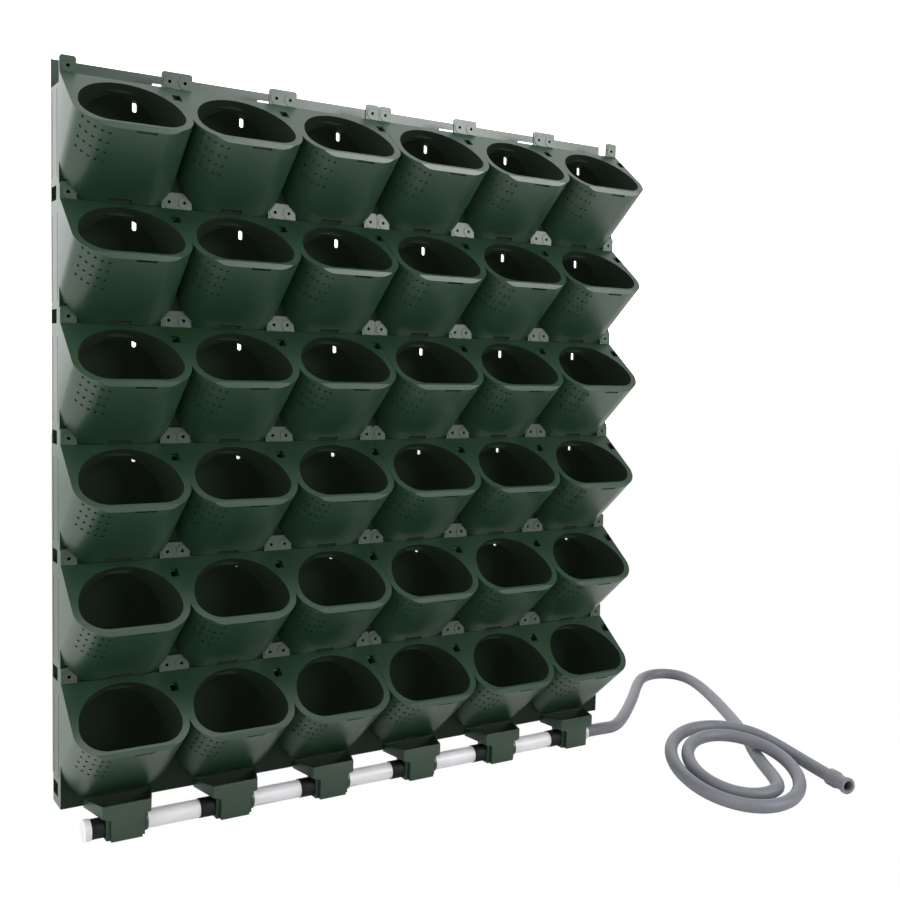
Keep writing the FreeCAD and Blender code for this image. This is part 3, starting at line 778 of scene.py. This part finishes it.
nozzleHeading = Vector((*hose["nozzleHeading"], 0)).normalized()
nozzleStart = Vector((*hose["nozzleStart"], hose["floor"] + hose["nozzleRadius"]))
route = [
    hoseExit,
    Vector((0.4425, -0.066, pipeLevel)),
    Vector((0.490, -0.054, lying)),
    Vector((0.560, 0.000, lying)),
    Vector((0.643, 0.073, lying)),
    Vector((0.694, 0.122, lying)),
    Vector((0.743, 0.161, lying)),
    Vector((0.791, 0.1695, lying)),
    Vector((0.8222, 0.143, lying)),
    Vector((0.819, 0.096, lying)),
    Vector((0.784, 0.018, lying)),
    Vector((0.728, -0.082, lying)),
    Vector((0.656, -0.200, lying)),
    Vector((0.592, -0.281, lying)),
]
coil = coilPoints()
tail = [nozzleStart - nozzleHeading * hose["nozzleLead"], nozzleStart]
hosePath = route + coil + tail

hoseCurve = bpy.data.curves.new("hose", "CURVE")
hoseCurve.dimensions = "3D"
hoseCurve.bevel_depth = hose["radius"]
hoseCurve.bevel_resolution = 6
hoseCurve.resolution_u = 6
hoseCurve.use_fill_caps = True
line = hoseCurve.splines.new("NURBS")
line.points.add(len(hosePath) - 1)
for point, place in zip(line.points, hosePath):
    point.co = (*place, 1.0)
line.order_u = 3
line.use_endpoint_u = True
hoseCurve.materials.append(finishes["grey_hose"])
hosePiece = bpy.data.objects.new("hose", hoseCurve)
scene.collection.objects.link(hosePiece)
settle(hosePiece, "bottom_row", "grey_hose", "hose_run", "hose_coil", "hose_tail")

nozzle = {
    # distance along the nozzle and radius, outside first, then back through the bore
    "section": ((0.000, 0.0104), (0.000, 0.0122), (0.0015, 0.0130), (0.016, 0.0130), (0.0185, 0.0122),
                (0.022, 0.0110), (0.036, 0.0108), (0.0375, 0.0116), (0.0385, 0.0125), (0.0425, 0.0125),
                (0.044, 0.0115), (0.044, 0.0082), (0.042, 0.0075), (0.010, 0.0075)),
    "steps": 40,
}


def makeNozzle():
    bm = bmesh.new()
    points = [bm.verts.new((along, radius, 0)) for along, radius in nozzle["section"]]
    edges = [bm.edges.new(pair) for pair in zip(points, points[1:])]
    bmesh.ops.spin(bm, geom=points + edges, cent=(0, 0, 0), axis=(1, 0, 0), angle=2 * math.pi,
                   steps=nozzle["steps"], use_merge=True)
    bmesh.ops.remove_doubles(bm, verts=bm.verts, dist=1e-6)
    bmesh.ops.holes_fill(bm, edges=[edge for edge in bm.edges if edge.is_boundary])
    bmesh.ops.recalc_face_normals(bm, faces=bm.faces)
    turn = nozzleHeading.to_track_quat("X", "Z").to_matrix().to_4x4()
    bmesh.ops.transform(bm, matrix=Matrix.Translation(nozzleStart) @ turn, verts=bm.verts)
    return toObject(bm, "nozzle", "grey_plastic", 40.0)


nozzlePiece = makeNozzle()
settle(nozzlePiece, "bottom_row", "grey_plastic", "hose_nozzle")


def runLength(points):
    return sum((b - a).length for a, b in zip(points, points[1:]))


hoseLine = hoseCurve.copy()
hoseLine.bevel_depth = 0
lineObject = bpy.data.objects.new("hose_line", hoseLine)
scene.collection.objects.link(lineObject)
depsgraph = bpy.context.evaluated_depsgraph_get()
lineMesh = bpy.data.meshes.new_from_object(lineObject.evaluated_get(depsgraph))
hoseLength = runLength([vertex.co for vertex in lineMesh.vertices])
bpy.data.objects.remove(lineObject)
print(f"hose length: {hoseLength:.3f} m")


# floor, light and camera

stage = {
    "floorSize": 16.0,
    "floorColour": (0.85, 0.85, 0.85, 1.0),
    "floorGlow": 0.985,
    "floorGap": 0.0002,
    "white": (1.0, 1.0, 1.0, 1.0),
    "backdrop": (2.3, 2.3, 2.3, 1.0),
    "ceilingShare": 0.5,
    "frontRoom": (0.10, 0.10, 0.10, 1.0),
    "backdropSide": (-0.42, 0.91, 0.0),
}


def makeFloor():
    bm = bmesh.new()
    bmesh.ops.create_grid(bm, x_segments=1, y_segments=1, size=stage["floorSize"] / 2,
                          matrix=Matrix.Translation((0, 0, hose["floor"] - stage["floorGap"])))
    mesh = bpy.data.meshes.new("floor")
    bm.to_mesh(mesh)
    bm.free()
    floor = bpy.data.objects.new("floor", mesh)
    scene.collection.objects.link(floor)
    material, link, shader = newFinish("floor", {"Roughness": 0.8, "Base Color": stage["floorColour"]})
    glow = link.node("ShaderNodeEmission", None, {"Color": stage["white"], "Strength": 1.0})
    seen = link.node("ShaderNodeLightPath", None, None, "Is Camera Ray")
    surface = Link(link.tree, shader.outputs[0])
    mixed = link.node("ShaderNodeMixShader", None, {0: seen * stage["floorGlow"], 1: surface, 2: glow})
    link.tree.links.new(mixed.socket, link.tree.nodes["Material Output"].inputs["Surface"])
    mesh.materials.append(material)


def makeWorld():
    # a white backdrop behind the planter and a dim room in front of it
    world = bpy.data.worlds.new("studio")
    world.use_nodes = True
    link = Link(world.node_tree)
    direction = link.node("ShaderNodeTexCoord", None, None, "Generated")
    depth = link.node("ShaderNodeVectorMath", {"operation": "DOT_PRODUCT"},
                      {0: direction, 1: stage["backdropSide"]}, "Value")
    share = link.node("ShaderNodeMapRange", {"interpolation_type": "SMOOTHSTEP"},
                      {"Value": depth, "From Min": -0.35, "From Max": 0.20})
    height = link.node("ShaderNodeSeparateXYZ", None, {0: direction}, "Z")
    ceiling = link.node("ShaderNodeMapRange", {"interpolation_type": "SMOOTHSTEP"},
                        {"Value": height, "From Min": 0.35, "From Max": 0.85})
    share = share * (1.0 - ceiling * stage["ceilingShare"])
    colour = blendColour(link, share, stage["frontRoom"], stage["backdrop"])
    feed(colour, world.node_tree.nodes["Background"], "Color")
    scene.world = world


makeFloor()
makeWorld()

lights = (
    {"name": "softbox_right", "place": (1.75, -2.70, 1.55), "aim": (0.1, 0.0, 0.6),
     "size": (1.5, 1.6), "power": 110},
    {"name": "left", "place": (-2.6, -0.6, 1.1), "aim": (-0.3, -0.1, 0.3),
     "size": (1.2, 1.8), "power": 30},
    {"name": "top", "place": (0.0, -1.0, 2.8), "aim": (0.0, -0.1, 0.3),
     "size": (2.4, 1.2), "power": 40},
)
for setting in lights:
    lamp = bpy.data.lights.new(setting["name"], "AREA")
    lamp.shape = "RECTANGLE"
    lamp.size, lamp.size_y = setting["size"]
    lamp.energy = setting["power"]
    lampObject = bpy.data.objects.new(setting["name"], lamp)
    place = Vector(setting["place"])
    turn = (Vector(setting["aim"]) - place).to_track_quat("-Z", "Y").to_matrix().to_4x4()
    lampObject.matrix_world = Matrix.Translation(place) @ turn
    scene.collection.objects.link(lampObject)

view = {
    "place": (-0.787, -1.505, 0.4121),
    "yaw": 32.35,
    "pitch": -4.33,
    "roll": 1.37,
    "focalPixels": 1115.1,
    "imagePixels": 900,
    "sensor": 36.0,
}


def aimCamera():
    yaw, pitch, roll = (math.radians(view[key]) for key in ("yaw", "pitch", "roll"))
    ahead = Vector((math.sin(yaw) * math.cos(pitch), math.cos(yaw) * math.cos(pitch), math.sin(pitch)))
    right = Vector((math.cos(yaw), -math.sin(yaw), 0))
    up = right.cross(ahead)
    across = right * math.cos(roll) + up * math.sin(roll)
    upward = up * math.cos(roll) - right * math.sin(roll)
    turn = Matrix((across, upward, -ahead)).transposed().to_4x4()
    camera = bpy.data.cameras.new("camera")
    camera.sensor_width = view["sensor"]
    camera.lens = view["sensor"] * view["focalPixels"] / view["imagePixels"]
    cameraObject = bpy.data.objects.new("camera", camera)
    cameraObject.matrix_world = Matrix.Translation(view["place"]) @ turn
    scene.collection.objects.link(cameraObject)
    scene.camera = cameraObject


aimCamera()
